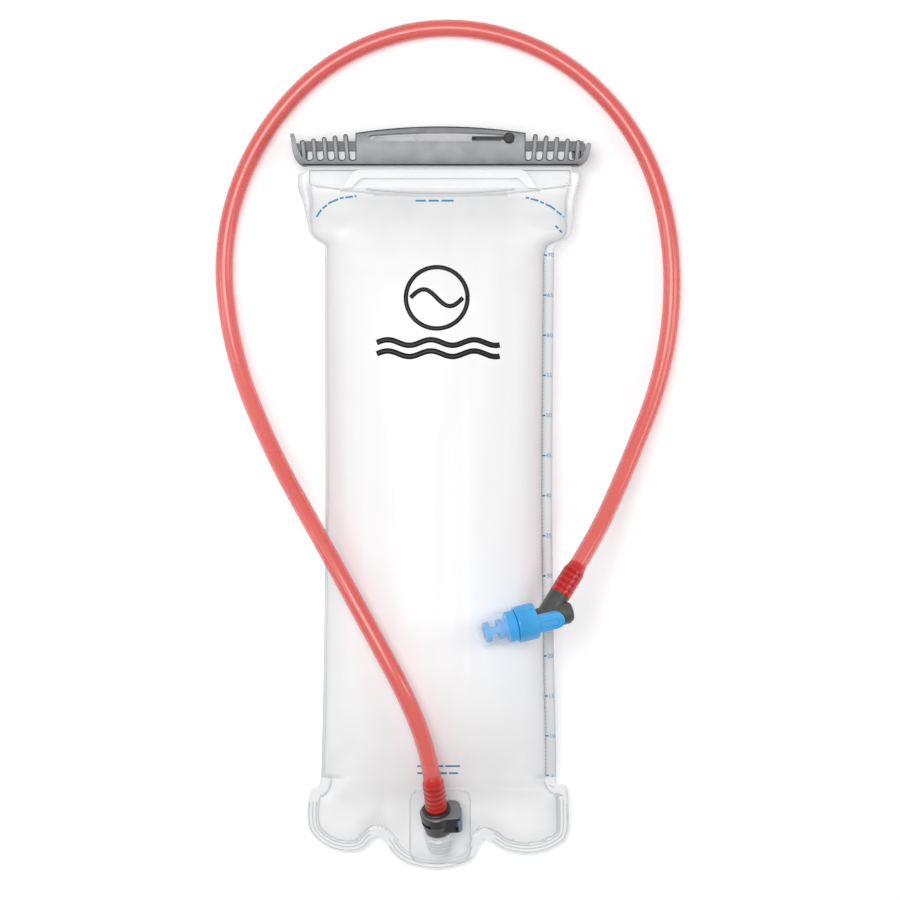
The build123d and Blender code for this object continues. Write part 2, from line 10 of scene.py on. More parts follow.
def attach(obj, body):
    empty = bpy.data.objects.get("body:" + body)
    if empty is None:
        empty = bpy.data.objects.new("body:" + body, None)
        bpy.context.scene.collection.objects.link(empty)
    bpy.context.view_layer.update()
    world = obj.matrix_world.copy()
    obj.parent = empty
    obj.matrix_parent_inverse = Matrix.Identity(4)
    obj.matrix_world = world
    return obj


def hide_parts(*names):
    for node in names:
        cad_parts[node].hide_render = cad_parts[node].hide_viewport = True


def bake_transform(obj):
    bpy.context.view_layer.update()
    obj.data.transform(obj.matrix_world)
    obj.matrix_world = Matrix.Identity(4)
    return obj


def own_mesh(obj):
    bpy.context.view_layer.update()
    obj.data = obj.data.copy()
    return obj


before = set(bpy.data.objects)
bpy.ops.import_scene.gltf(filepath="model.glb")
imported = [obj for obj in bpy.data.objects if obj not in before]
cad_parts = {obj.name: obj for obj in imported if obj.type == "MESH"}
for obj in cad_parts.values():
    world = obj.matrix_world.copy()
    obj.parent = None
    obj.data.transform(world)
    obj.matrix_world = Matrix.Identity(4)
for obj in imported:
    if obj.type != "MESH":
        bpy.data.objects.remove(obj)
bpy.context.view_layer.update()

MM = 0.001


def mm(x, y, z=0.0):
    """A point given in millimetres, in the scene's metres."""
    return Vector((x * MM, y * MM, z * MM))


AXIS = Vector((-0.07, 0.805, 0.589)).normalized()       # the quick connect points along it
CONNECT = mm(-1.2, -179.1, 22.0)                        # centre of the socket's lower face
SOCKET_TOP = CONNECT.dot(AXIS) + 0.0136                 # the socket's upper face, along AXIS
TUBE_D = 0.0095                                         # outside diameter of the drink tube
BORE_D = 0.0062                                         # its bore
FILM_THICKNESS = 0.0004
LIFT_PRINT = 0.03                                       # print above the film, in millimetres


def srgb(r, g, b, a=1.0):
    """An 8-bit screen colour as linear light."""
    def linear(v):
        v /= 255.0
        return v / 12.92 if v <= 0.04045 else ((v + 0.055) / 1.055) ** 2.4
    return (linear(r), linear(g), linear(b), a)


# ---------------------------------------------------------------- camera and light
def add_camera():
    """Straight above the object, with the picture's top towards +Y and a long lens."""
    data = bpy.data.cameras.new("camera")
    data.lens = 200.0
    data.sensor_width = 36.0
    camera = bpy.data.objects.new("camera", data)
    bpy.context.collection.objects.link(camera)
    width = 0.486
    distance = width * data.lens / data.sensor_width
    camera.location = (0.0051, 0.0266, 0.025 + distance)
    data.clip_start, data.clip_end = 0.05, 10.0
    bpy.context.scene.camera = camera


def add_light(name, location, target, size, power, colour=(1, 1, 1)):
    data = bpy.data.lights.new(name, "AREA")
    data.shape = "RECTANGLE"
    data.size, data.size_y = size
    data.energy = power
    data.color = colour
    light = bpy.data.objects.new(name, data)
    bpy.context.collection.objects.link(light)
    light.location = location
    direction = Vector(target) - Vector(location)
    light.rotation_euler = direction.to_track_quat("-Z", "Y").to_euler()


def add_studio():
    scene = bpy.context.scene
    scene.view_settings.view_transform = "Standard"
    world = bpy.data.worlds.new("studio")
    scene.world = world
    world.use_nodes = True
    world.node_tree.nodes["Background"].inputs["Color"].default_value = (1, 1, 1, 1)
    world.node_tree.nodes["Background"].inputs["Strength"].default_value = 0.35
    add_light("overhead", (-0.5, 0.5, 3.4), (0, 0, 0), (1.8, 1.8), 63.0)
    add_light("left", (-1.3, 0.1, 0.9), (0, 0, 0), (0.3, 1.2), 3.0)
    add_light("right", (1.4, 0.2, 1.1), (0, 0, 0), (0.3, 1.2), 4.5)

    bpy.ops.mesh.primitive_plane_add(size=6.0, location=(0, 0, -0.0004))
    floor = bpy.context.object
    floor.name = "floor"
    material, shader, _ = new_material("floor_white", srgb(252, 252, 253), 0.85)
    shader.inputs["Specular IOR Level"].default_value = 0.1
    shader.inputs["Emission Color"].default_value = (1, 1, 1, 1)
    shader.inputs["Emission Strength"].default_value = 0.16
    floor.data.materials.append(material)


# ---------------------------------------------------------------- materials
def new_material(name, colour, roughness, metallic=0.0):
    material = bpy.data.materials.new(name)
    material.use_nodes = True
    shader = material.node_tree.nodes["Principled BSDF"]
    shader.inputs["Base Color"].default_value = colour
    shader.inputs["Roughness"].default_value = roughness
    shader.inputs["Metallic"].default_value = metallic
    return material, shader, material.node_tree


def noise_node(tree, scale, detail=3.0, stretch=(1, 1, 1)):
    """Noise in the piece's own coordinates, in cycles per metre."""
    coords = tree.nodes.new("ShaderNodeTexCoord")
    mapping = tree.nodes.new("ShaderNodeMapping")
    mapping.inputs["Scale"].default_value = stretch
    texture = tree.nodes.new("ShaderNodeTexNoise")
    texture.inputs["Scale"].default_value = scale
    texture.inputs["Detail"].default_value = detail
    tree.links.new(coords.outputs["Object"], mapping.inputs["Vector"])
    tree.links.new(mapping.outputs["Vector"], texture.inputs["Vector"])
    return texture


def vary_roughness(tree, shader, scale, low, high):
    texture = noise_node(tree, scale, 4.0)
    ramp = tree.nodes.new("ShaderNodeMapRange")
    ramp.inputs["From Min"].default_value = 0.3
    ramp.inputs["From Max"].default_value = 0.7
    ramp.inputs["To Min"].default_value = low
    ramp.inputs["To Max"].default_value = high
    tree.links.new(texture.outputs["Fac"], ramp.inputs["Value"])
    tree.links.new(ramp.outputs["Result"], shader.inputs["Roughness"])


def vary_colour(tree, shader, scale, dark, light, stretch=(1, 1, 1)):
    texture = noise_node(tree, scale, 3.0, stretch)
    ramp = tree.nodes.new("ShaderNodeValToRGB")
    ramp.color_ramp.elements[0].position = 0.3
    ramp.color_ramp.elements[0].color = dark
    ramp.color_ramp.elements[1].position = 0.7
    ramp.color_ramp.elements[1].color = light
    tree.links.new(texture.outputs["Fac"], ramp.inputs["Fac"])
    tree.links.new(ramp.outputs["Color"], shader.inputs["Base Color"])


def add_bump(tree, shader, scale, distance, strength=0.5, stretch=(1, 1, 1)):
    texture = noise_node(tree, scale, 4.0, stretch)
    bump = tree.nodes.new("ShaderNodeBump")
    bump.inputs["Strength"].default_value = strength
    bump.inputs["Distance"].default_value = distance
    tree.links.new(texture.outputs["Fac"], bump.inputs["Height"])
    tree.links.new(bump.outputs["Normal"], shader.inputs["Normal"])


def moulded_plastic(name, dark, light, roughness, grain=0.00006):
    """Moulded plastic with a fine spark-eroded grain and slightly uneven gloss."""
    material, shader, tree = new_material(name, light, roughness)
    vary_colour(tree, shader, 60.0, dark, light)
    vary_roughness(tree, shader, 140.0, roughness - 0.06, roughness + 0.08)
    add_bump(tree, shader, 2600.0, grain)
    return material


def clear_plastic(name, colour, roughness, alpha):
    """Clear or milky plastic, see-through by its alpha, with a faint painted glow in its own colour."""
    material, shader, tree = new_material(name, colour, roughness)
    shader.inputs["Alpha"].default_value = alpha
    shader.inputs["IOR"].default_value = 1.4
    # Painted glow: the plastic shines faintly in its own colour, though it is no lamp.
    shader.inputs["Emission Color"].default_value = colour
    shader.inputs["Emission Strength"].default_value = 0.06
    vary_roughness(tree, shader, 90.0, max(roughness - 0.08, 0.02), roughness + 0.08)
    add_bump(tree, shader, 240.0, 0.0002, 0.25)
    return material


def film_material(name, frosted, clear, clear_alpha, glow):
    """Welded film: the attribute 'frost' is 1 where the film is frosted and 0 where it is clear;
    the second attribute grows to 1 where it turns down at its sides, where painted shade greys it.
    glow is painted light: the film shines faintly by itself, more where it is frosted."""
    material, shader, tree = new_material(name, frosted, 0.38)
    mask = tree.nodes.new("ShaderNodeAttribute")
    mask.attribute_name = "frost"
    # Painted shade: long streaks along Y, up to 5% darker, on the frosted film.
    tone = noise_node(tree, 40.0, 3.0, (1, 0.07, 1))
    shade_streaks = tree.nodes.new("ShaderNodeValToRGB")
    shade_streaks.color_ramp.elements[0].position = 0.3
    shade_streaks.color_ramp.elements[0].color = tuple(0.95 * c for c in frosted[:3]) + (1,)
    shade_streaks.color_ramp.elements[1].position = 0.6
    shade_streaks.color_ramp.elements[1].color = frosted
    # Painted shade: the film greys towards its sides, where it turns down.
    side_shade = tree.nodes.new("ShaderNodeAttribute")
    side_shade.attribute_name = "side_shade"
    side_greyed_colour = tree.nodes.new("ShaderNodeMix")
    side_greyed_colour.data_type = "RGBA"
    tree.links.new(side_shade.outputs["Fac"], side_greyed_colour.inputs["Factor"])
    tree.links.new(shade_streaks.outputs["Color"], side_greyed_colour.inputs["A"])
    side_greyed_colour.inputs["B"].default_value = srgb(216, 218, 220)
    colour = tree.nodes.new("ShaderNodeMix")
    colour.data_type = "RGBA"
    tree.links.new(tone.outputs["Fac"], shade_streaks.inputs["Fac"])
    tree.links.new(mask.outputs["Fac"], colour.inputs["Factor"])
    colour.inputs["A"].default_value = clear
    tree.links.new(side_greyed_colour.outputs["Result"], colour.inputs["B"])
    tree.links.new(colour.outputs["Result"], shader.inputs["Base Color"])
    # Painted glow: the film shines by itself, at 0.04 where clear and at glow where frosted.
    shader.inputs["Emission Color"].default_value = (1, 1, 1, 1)
    for socket, at_clear, at_frost in (("Alpha", clear_alpha, 0.96), ("Roughness", 0.14, 0.42),
                                      ("Emission Strength", 0.04, glow)):
        level = tree.nodes.new("ShaderNodeMapRange")
        level.inputs["To Min"].default_value = at_clear
        level.inputs["To Max"].default_value = at_frost
        tree.links.new(mask.outputs["Fac"], level.inputs["Value"])
        tree.links.new(level.outputs["Result"], shader.inputs[socket])
    add_bump(tree, shader, 900.0, 0.00005, 0.35)
    return material


add_camera()
MAT = {
    "film": film_material("film", srgb(250, 250, 251), srgb(250, 251, 252), 0.10, 0.05),
    # The back film is nearly opaque where it is clear, so it shows white in place of the lit floor
    # beneath, and glows more where frosted: painted light.
    "film_back": film_material("film_underside", srgb(250, 250, 251), srgb(250, 251, 252), 0.92, 0.10),
    # Painted light: the back rail is drawn opaque near-white and glowing, standing in for the lit floor
    # seen through the clear moulding.
    "rail_back": clear_plastic("rail_back_painted_bright", srgb(251, 252, 253), 0.25, 1.0),
    # Painted shade: the clear spout is drawn grey for the shading of its rings.
    "spout": clear_plastic("clear_spout", srgb(214, 217, 220), 0.06, 0.9),
    "tab": clear_plastic("film_tab", srgb(206, 209, 212), 0.2, 0.8),
    "patch": clear_plastic("clear_patch", srgb(248, 249, 250), 0.2, 0.3),
    "weld": clear_plastic("weld_line", srgb(222, 225, 228), 0.2, 0.55),
    "weld_pale": clear_plastic("weld_pale", srgb(236, 238, 240), 0.2, 0.6),
    "leash": moulded_plastic("leash_black", srgb(38, 38, 40), srgb(52, 52, 54), 0.55),
    "fitting": moulded_plastic("fitting_dark", srgb(40, 39, 38), srgb(54, 53, 52), 0.32),
    "button": moulded_plastic("button_grey", srgb(112, 130, 152), srgb(140, 160, 182), 0.26),
    "seal": moulded_plastic("seal_rubber", srgb(28, 28, 28), srgb(38, 38, 38), 0.6),
    "elbow": moulded_plastic("elbow_grey", srgb(66, 68, 67), srgb(84, 86, 85), 0.36),
    "blue": moulded_plastic("valve_blue", srgb(60, 162, 228), srgb(84, 182, 240), 0.14),
    "core": clear_plastic("core_blue", srgb(70, 172, 236), 0.1, 1.0),
    "silicone": clear_plastic("silicone", srgb(226, 242, 252), 0.08, 0.13),
    "print_blue": moulded_plastic("print_blue", srgb(52, 148, 196), srgb(70, 164, 210), 0.5, 0.00001),
    "print_pale": moulded_plastic("print_pale", srgb(132, 186, 216), srgb(144, 196, 224), 0.5, 0.00001),
    "print_black": moulded_plastic("print_black", srgb(20, 20, 22), srgb(28, 28, 30), 0.45, 0.00001),
}


def painted_light_step(name, low, high, direction, start, blur, roughness, alphas=(1.0, 1.0)):
    """Painted light and shade: colour and opacity that change where the piece rises past a plane across
    direction.
    """
    material, shader, tree = new_material(name, low, roughness)
    # Painted glow in the upper colour where the piece is see-through.
    shader.inputs["Emission Color"].default_value = high
    shader.inputs["Emission Strength"].default_value = 0.06 if min(alphas) < 1 else 0.0
    coords = tree.nodes.new("ShaderNodeTexCoord")
    height = tree.nodes.new("ShaderNodeVectorMath")
    height.operation = "DOT_PRODUCT"
    height.inputs[1].default_value = direction
    tree.links.new(coords.outputs["Object"], height.inputs[0])
    step = tree.nodes.new("ShaderNodeMapRange")
    step.inputs["From Min"].default_value = start
    step.inputs["From Max"].default_value = start + blur
    tree.links.new(height.outputs["Value"], step.inputs["Value"])
    tone = noise_node(tree, 60.0)
    uneven = tree.nodes.new("ShaderNodeMapRange")
    uneven.inputs["To Min"].default_value = 0.93
    uneven.inputs["To Max"].default_value = 1.05
    tree.links.new(tone.outputs["Fac"], uneven.inputs["Value"])
    colour = tree.nodes.new("ShaderNodeMix")
    colour.data_type = "RGBA"
    colour.inputs["A"].default_value = low
    colour.inputs["B"].default_value = high
    tree.links.new(step.outputs["Result"], colour.inputs["Factor"])
    shade = tree.nodes.new("ShaderNodeVectorMath")
    shade.operation = "SCALE"
    tree.links.new(colour.outputs["Result"], shade.inputs[0])
    tree.links.new(uneven.outputs["Result"], shade.inputs["Scale"])
    tree.links.new(shade.outputs["Vector"], shader.inputs["Base Color"])
    if min(alphas) < 1:
        alpha = tree.nodes.new("ShaderNodeMapRange")
        alpha.inputs["To Min"].default_value, alpha.inputs["To Max"].default_value = alphas
        tree.links.new(step.outputs["Result"], alpha.inputs["Value"])
        tree.links.new(alpha.outputs["Result"], shader.inputs["Alpha"])
    vary_roughness(tree, shader, 140.0, roughness - 0.05, roughness + 0.07)
    add_bump(tree, shader, 300.0, 0.0001, 0.2)
    return material


# Painted shade and glow: the raised rib above 19.4 mm is greyer and more opaque than the clear plate, and
# glows faintly.
MAT["rail"] = painted_light_step("clear_rail", srgb(252, 253, 254), srgb(244, 245, 247), (0, 0, 1), 0.0194, 0.0003,
                       0.16, (0.07, 0.7))


def bar_material():
    """Grey moulding with painted shade: near black in its recess, darker along its lower edge and on the
    handle's rim, lightest a little above its middle.
    """
    # Painted shade: below its face's height the bar is near black.
    material = painted_light_step("bar_grey", srgb(10, 11, 12), srgb(124, 128, 131), (0, 0, 1), 0.0218, 0.0006, 0.22)
    tree = material.node_tree
    shader = tree.nodes["Principled BSDF"]
    old = shader.inputs["Base Color"].links[0].from_socket
    # Painted shade by Y: the ramp darkens the bar towards its lower edge and the handle's rim.
    coords = tree.nodes.new("ShaderNodeTexCoord")
    split = tree.nodes.new("ShaderNodeSeparateXYZ")
    up = tree.nodes.new("ShaderNodeMapRange")
    up.inputs["From Min"].default_value = 0.1802
    up.inputs["From Max"].default_value = 0.2016
    ramp = tree.nodes.new("ShaderNodeValToRGB")
    stops = ramp.color_ramp.elements
    stops[0].position, stops[0].color = 0.0, (0.02, 0.02, 0.02, 1)
    stops[1].position, stops[1].color = 1.0, (0.16, 0.16, 0.17, 1)
    for place, level in ((0.05, 0.05), (0.09, 0.42), (0.3, 0.9), (0.52, 1.05), (0.7, 0.8), (0.86, 0.4)):
        stop = stops.new(place)
        stop.color = (level, level, level, 1)
    shade = tree.nodes.new("ShaderNodeVectorMath")
    shade.operation = "MULTIPLY"
    tree.links.new(coords.outputs["Object"], split.inputs["Vector"])
    tree.links.new(split.outputs["Y"], up.inputs["Value"])
    tree.links.new(up.outputs["Result"], ramp.inputs["Fac"])
    tree.links.new(old, shade.inputs[0])
    tree.links.new(ramp.outputs["Color"], shade.inputs[1])
    tree.links.new(shade.outputs["Vector"], shader.inputs["Base Color"])
    return material


MAT["bar"] = bar_material()
# Painted light: the socket is lighter grey above its upper face's plane along AXIS, as if lit from above.
MAT["socket"] = painted_light_step("socket_dark", srgb(47, 46, 46), srgb(120, 123, 125), AXIS, SOCKET_TOP, 0.0002,
                         0.3)
steel, steel_shader, steel_tree = new_material("spring_steel", srgb(170, 172, 175), 0.3, 1.0)
add_bump(steel_tree, steel_shader, 900.0, 0.00005)
MAT["steel"] = steel


def tube_material(name, dark, light, alpha, gloss=1.0):
    """Soft tube with a glossy surface; below full opacity its bore shows through, whose pale colour is
    painted light.
    """
    material, shader, tree = new_material(name, light, 0.3)
    vary_colour(tree, shader, 9.0, dark, light)
    shader.inputs["Alpha"].default_value = alpha
    shader.inputs["Coat Weight"].default_value = gloss
    shader.inputs["Coat Roughness"].default_value = 0.2
    vary_roughness(tree, shader, 40.0, 0.24, 0.34)
    add_bump(tree, shader, 160.0, 0.00004, 0.2)
    return material


MAT["tube"] = tube_material("tube_red", srgb(242, 82, 78), srgb(250, 94, 88), 0.66)
# Painted light: the bore is pale, so the tube's middle looks lit through and its edges darker.
MAT["bore"] = tube_material("tube_bore", srgb(254, 206, 198), srgb(255, 220, 212), 1.0, 0.0)


def stretched_material():
    """The tube where a stem stretches it: deep red where it lies on the stem, with painted shade in the
    grooves and a painted highlight where a barb lifts it.
    """
    material = tube_material("tube_red_stretched", srgb(168, 4, 4), srgb(182, 8, 8), 1.0, 0.3)
    tree = material.node_tree
    shader = tree.nodes["Principled BSDF"]
    old = shader.inputs["Base Color"].links[0].from_socket
    # Painted highlight on the barb crests over painted shade in the grooves.
    ridge = tree.nodes.new("ShaderNodeAttribute")
    ridge.attribute_name = "ridge"
    mix = tree.nodes.new("ShaderNodeMix")
    mix.data_type = "RGBA"
    tree.links.new(ridge.outputs["Fac"], mix.inputs["Factor"])
    tree.links.new(old, mix.inputs["A"])
    mix.inputs["B"].default_value = srgb(222, 56, 50)
    tree.links.new(mix.outputs["Result"], shader.inputs["Base Color"])
    return material


MAT["tube_end"] = stretched_material()


# ---------------------------------------------------------------- pieces
def link(name, mesh, material, body, replaces=()):
    """A finished mesh as a named piece on its body, with its material, hiding the parts it replaces."""
    piece = bpy.data.objects.new(name, mesh)
    bpy.context.collection.objects.link(piece)
    mesh.materials.append(MAT[material])
    if body:
        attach(piece, body)
    if replaces:
        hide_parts(*replaces)
    return piece


def new_mesh(name, bm, soft=True):
    """The finished mesh of bm, smooth-shaded if soft."""
    mesh = bpy.data.meshes.new(name)
    bm.to_mesh(mesh)
    bm.free()
    if soft:
        for polygon in mesh.polygons:
            polygon.use_smooth = True
    return mesh


def skin(bm, loops):
    """Closed tube of faces through loops of vertices, with its two ends capped."""
    count = len(loops[0])
    for a, b in zip(loops, loops[1:]):
        for j in range(count):
            bm.faces.new((a[j], a[(j + 1) % count], b[(j + 1) % count], b[j]))
    bm.faces.new(loops[0][::-1])
    bm.faces.new(loops[-1])
    bmesh.ops.recalc_face_normals(bm, faces=bm.faces)


# ---------------------------------------------------------------- the drink tube
TUBE_START = CONNECT + AXIS * 15.9 * MM
REARWARD = Vector((0.9576, 0.2299, -0.1736)).normalized()
BRANCH = Vector((0.518, 0.798, -0.309)).normalized()
VALVE_TIP = mm(21.1, -71.3, 64.5)
TUBE_END = VALVE_TIP + REARWARD * 36.1 * MM + BRANCH * 15.0 * MM
ROUTE = [
    TUBE_START,
    TUBE_START + AXIS * 26.0 * MM,
    mm(-14.5, -111.0, 64.5),
    mm(-38.5, -67.0, 65.0),
    mm(-64.0, -21.0, 53.0),
    mm(-91.3, 26.0, 28.0),
    mm(-113.7, 80.0, 7.5),
    mm(-120.1, 139.9, 5.0),
    mm(-100.9, 196.4, 5.0),
    mm(-59.1, 241.3, 5.0),
    mm(0.1, 260.2, 5.0),
    mm(60.5, 245.5, 5.0),
    mm(105.4, 203.6, 5.0),
    mm(126.8, 146.0, 5.0),
    mm(124.5, 76.0, 6.0),
    mm(97.0, 8.0, 23.0),
    TUBE_END + BRANCH * 34.0 * MM,
    TUBE_END,
]


def add_tube(name, diameter, material):
    """A round piece along the tube's route, on the hose."""
    curve = bpy.data.curves.new(name + "_curve", "CURVE")
    curve.dimensions = "3D"
    curve.resolution_u = 24
    curve.bevel_depth = diameter / 2
    curve.bevel_resolution = 8
    curve.use_fill_caps = True
    spline = curve.splines.new("NURBS")
    spline.points.add(len(ROUTE) - 1)
    for point, place in zip(spline.points, ROUTE):
        point.co = (*place, 1.0)
    spline.order_u = 3
    spline.use_endpoint_u = True
    piece = bpy.data.objects.new(name, curve)
    bpy.context.collection.objects.link(piece)
    curve.materials.append(MAT[material])
    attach(piece, "hose")
    return piece


tube = add_tube("drink_tube_soft", TUBE_D, "tube")
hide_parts("drink_tube")
# The bore's pale colour is painted light shining through the tube.
bore = add_tube("drink_tube_bore", BORE_D, "bore")


def tube_path():
    """Points along the tube's own spline, without its thickness."""
    bare = tube.data.copy()
    bare.bevel_depth = 0.0
    probe = bpy.data.objects.new("probe", bare)
    mesh = bpy.data.meshes.new_from_object(probe)
    points = [v.co.copy() for v in mesh.vertices]
    bpy.data.objects.remove(probe)
    bpy.data.curves.remove(bare)
    bpy.data.meshes.remove(mesh)
    if (points[0] - TUBE_START).length > (points[-1] - TUBE_START).length:
        points.reverse()
    return points


PATH = tube_path()


def stretched_end(name, points, length, barbs, widest, relief):
    """The tube's end where it is pushed over a barbed stem: wider, ringed by the barbs."""
    rings, around = 120, 40
    distances = [0.0]
    for a, b in zip(points, points[1:]):
        distances.append(distances[-1] + (b - a).length)

    def at(d):
        for i in range(1, len(points)):
            if distances[i] >= d:
                share = (d - distances[i - 1]) / (distances[i] - distances[i - 1])
                place = points[i - 1].lerp(points[i], share)
                return place, (points[i] - points[i - 1]).normalized()
        return points[-1], (points[-1] - points[-2]).normalized()

    bm = bmesh.new()
    ridge = bm.verts.layers.float.new("ridge")
    loops = []
    for k in range(rings + 1):
        share = k / rings
        place, along = at(share * length)
        fade = 1.0 if share < 0.72 else 1 - (share - 0.72) / 0.28
        fade = fade * fade * (3 - 2 * fade)
        wave = abs(math.sin(math.pi * barbs * share / 0.86)) if share < 0.86 else 0.0
        radius = TUBE_D / 2 + 0.00008 + fade * (widest - TUBE_D / 2) * (1 - relief + relief * wave)
        side = along.cross(Vector((0, 0, 1))).normalized()
        up = side.cross(along)
        loops.append([bm.verts.new(place + radius * (math.cos(a) * side + math.sin(a) * up))
                      for a in (2 * math.pi * j / around for j in range(around))])
        for v in loops[-1]:
            # The share of the paler colour: painted light on the barb crests, and the plain tube's look
            # past the stretched end.
            v[ridge] = 1 - fade + fade * 0.6 * wave ** 3
    skin(bm, loops)
    return link(name, new_mesh(name, bm), "tube_end", "hose")


lower_end = stretched_end("tube_end_at_plug", PATH, 0.0225, 6, 0.0059, 0.24)
upper_end = stretched_end("tube_end_at_elbow", PATH[::-1], 0.0200, 5, 0.0058, 0.12)


# ---------------------------------------------------------------- the film
def slope_at(table, i, column):
    """The slope of a curve through the table's rows that never overshoots them."""
    if i == 0 or i == len(table) - 1:
        return 0.0
    steps = []
    for a, b in ((i - 1, i), (i, i + 1)):
        steps.append((table[b][column] - table[a][column]) / (table[b][0] - table[a][0]))
    if steps[0] * steps[1] <= 0:
        return 0.0
    return 2 * steps[0] * steps[1] / (steps[0] + steps[1])


def along(table, y, column):
    """A smooth value between rows of a table that starts at the mouth; each row begins with its Y."""
    if y >= table[0][0]:
        return table[0][column]
    for i, (upper, lower) in enumerate(zip(table, table[1:])):
        if y >= lower[0]:
            span = lower[0] - upper[0]
            t = (y - upper[0]) / span
            m0, m1 = slope_at(table, i, column) * span, slope_at(table, i + 1, column) * span
            a, b = upper[column], lower[column]
            return ((2 * t ** 3 - 3 * t * t + 1) * a + (t ** 3 - 2 * t * t + t) * m0
                    + (3 * t * t - 2 * t ** 3) * b + (t ** 3 - t * t) * m1)
    return table[-1][column]


# Y, left and right edge of the film's outline above the lobes, and the widths of its side welds
EDGES = [
    (188.0, -71.8, 70.9, 1.6, 1.6), (177.8, -71.8, 70.9, 1.6, 1.6), (176.4, -77.3, 75.9, 7.2, 6.0),
    (170.0, -77.3, 74.9, 7.2, 5.6), (161.1, -74.6, 72.6, 5.6, 5.0), (153.5, -72.9, 72.0, 3.0, 4.4),
    (145.7, -71.2, 70.9, 1.8, 3.0), (142.2, -70.0, 69.2, 1.6, 2.4), (136.4, -62.5, 61.4, 1.6, 4.6),
    (128.0, -62.6, 61.3, 1.6, 5.9), (0.0, -62.2, 60.3, 1.6, 5.9), (-80.0, -63.0, 61.2, 1.6, 5.9),
    (-149.0, -64.7, 62.6, 1.8, 5.9), (-150.0, -64.8, 62.6, 1.8, 5.9),
]
# Y, seam height, rise of the front film above it, fall of the back film below it
SWELL = [
    (188.0, 17.6, 0.5, 0.5), (168.0, 17.6, 0.6, 0.6), (158.0, 18.2, 8.0, 7.5), (146.0, 20.5, 16.5, 17.0),
    (130.0, 23.0, 23.5, 23.0), (105.0, 24.0, 29.0, 24.0), (70.0, 24.0, 32.0, 24.0),
    (-60.0, 24.0, 32.0, 24.0), (-90.0, 23.0, 30.5, 23.0), (-110.0, 21.5, 28.0, 21.5),
    (-130.0, 19.0, 22.0, 19.0), (-150.0, 14.5, 13.0, 14.5), (-165.0, 10.5, 5.4, 8.5),
    (-178.0, 8.2, 3.4, 4.5), (-190.0, 6.6, 2.6, 2.4), (-203.0, 6.0, 0.5, 0.5),
]
LOBE_TOP = -150.0
ROWS_ABOVE, ROWS_BELOW = 165, 34        # rows of the films' grid above and below LOBE_TOP
ACROSS = 88                             # its columns between the side welds


def bezier_chain(points, count):
    """count + 1 points along a Catmull-Rom curve through the given points."""
    padded = [points[0]] + list(points) + [points[-1]]
    out = []
    spans = len(points) - 1
    for k in range(count + 1):
        t = k / count * spans
        i = min(int(t), spans - 1)
        t -= i
        p0, p1, p2, p3 = (Vector(p) for p in padded[i:i + 4])
        out.append(0.5 * ((2 * p1) + (p2 - p0) * t + (2 * p0 - 5 * p1 + 4 * p2 - p3) * t * t
                          + (3 * p1 - p0 - 3 * p2 + p3) * t ** 3))
    return out


LEFT_LOBE_SIDE = [(-64.8, -150.0), (-66.0, -155.0), (-70.4, -158.5), (-72.4, -168.0), (-71.8, -178.0),
                  (-68.5, -184.0)]
RIGHT_LOBE_SIDE = [(62.6, -150.0), (63.0, -154.2), (68.4, -156.0), (69.5, -168.0), (69.3, -180.0),
                   (66.5, -186.3)]
LOBE_BOTTOM = [(-68.5, -184.0), (-61.0, -189.5), (-51.4, -192.0), (-42.6, -190.3), (-37.6, -185.4),
               (-34.3, -183.2), (-30.6, -186.2), (-24.9, -194.0), (-16.1, -199.2), (-1.9, -201.4),
               (9.0, -199.6), (16.9, -196.0), (19.9, -189.6), (22.6, -184.8), (27.5, -186.4),
               (35.0, -191.0), (46.7, -193.1), (57.6, -191.2), (66.5, -186.3)]


def lobe_outline(count):
    """The film's whole lower edge, from the left side round the three lobes to the right side."""
    chain = LEFT_LOBE_SIDE + LOBE_BOTTOM[1:] + RIGHT_LOBE_SIDE[-2::-1]
    return bezier_chain(chain, count)


OUTLINE = lobe_outline(1200)
LOBE_EDGE = KDTree(len(OUTLINE))
for index, point in enumerate(OUTLINE):
    LOBE_EDGE.insert((point.x, point.y, 0.0), index)
LOBE_EDGE.balance()


def margin_fade(distance, reach):
    """0 at the weld, 1 once the film has risen clear of it."""
    t = max(0.0, min(1.0, distance / reach))
    return math.sin(t * math.pi / 2) ** 0.8


# Creases pressed into the front film: from, to, depth and half width, in millimetres
CREASES = [
    ((-66, 139), (-49, 142), 3.4, 2.6), ((-61, 135), (-44, 124), 2.6, 4.5),
    ((-57, 142), (-44, 152), -1.6, 4.0), ((-72, 163), (-67, 147), 1.6, 2.6),
    ((-66, 160), (-40, 150), 1.2, 6.0), ((63, 138), (50, 142), 3.2, 2.6),
    ((60, 134), (45, 122), 2.4, 4.5), ((56, 142), (44, 151), -1.4, 4.0),
    ((70, 164), (66, 148), 1.4, 2.6), ((64, 160), (40, 150), 1.0, 6.0),
    ((-66, -153), (-50, -149), 2.2, 3.0), ((-60, -147), (-46, -134), 1.6, 5.0),
    ((-54, -158), (-38, -166), -0.8, 4.0), ((64, -154), (49, -149), 2.2, 3.0),
    ((58, -147), (46, -134), 1.5, 5.0), ((-34, -182), (-31, -165), 1.1, 3.5),
    ((23, -183), (21, -166), 1.0, 3.5), ((-61, 60), (-52, 52), 0.8, 4.0),
    ((-61, -30), (-50, -38), 0.7, 4.0), ((-61, -96), (-50, -90), 0.8, 4.0),
    ((55, 30), (46, 24), 0.5, 4.0), ((55, -110), (45, -104), 0.6, 4.0),
]


def crease_depth(x, y):
    """How far all the creases together press the front film in at (x, y)."""
    total = 0.0
    for (ax, ay), (bx, by), depth, width in CREASES:
        dx, dy = bx - ax, by - ay
        t = ((x - ax) * dx + (y - ay) * dy) / (dx * dx + dy * dy)
        t = max(0.0, min(1.0, t))
        d = math.hypot(x - ax - t * dx, y - ay - t * dy)
        total += depth * (1 - 0.6 * t) * math.exp(-(d / width) ** 2)
    return total


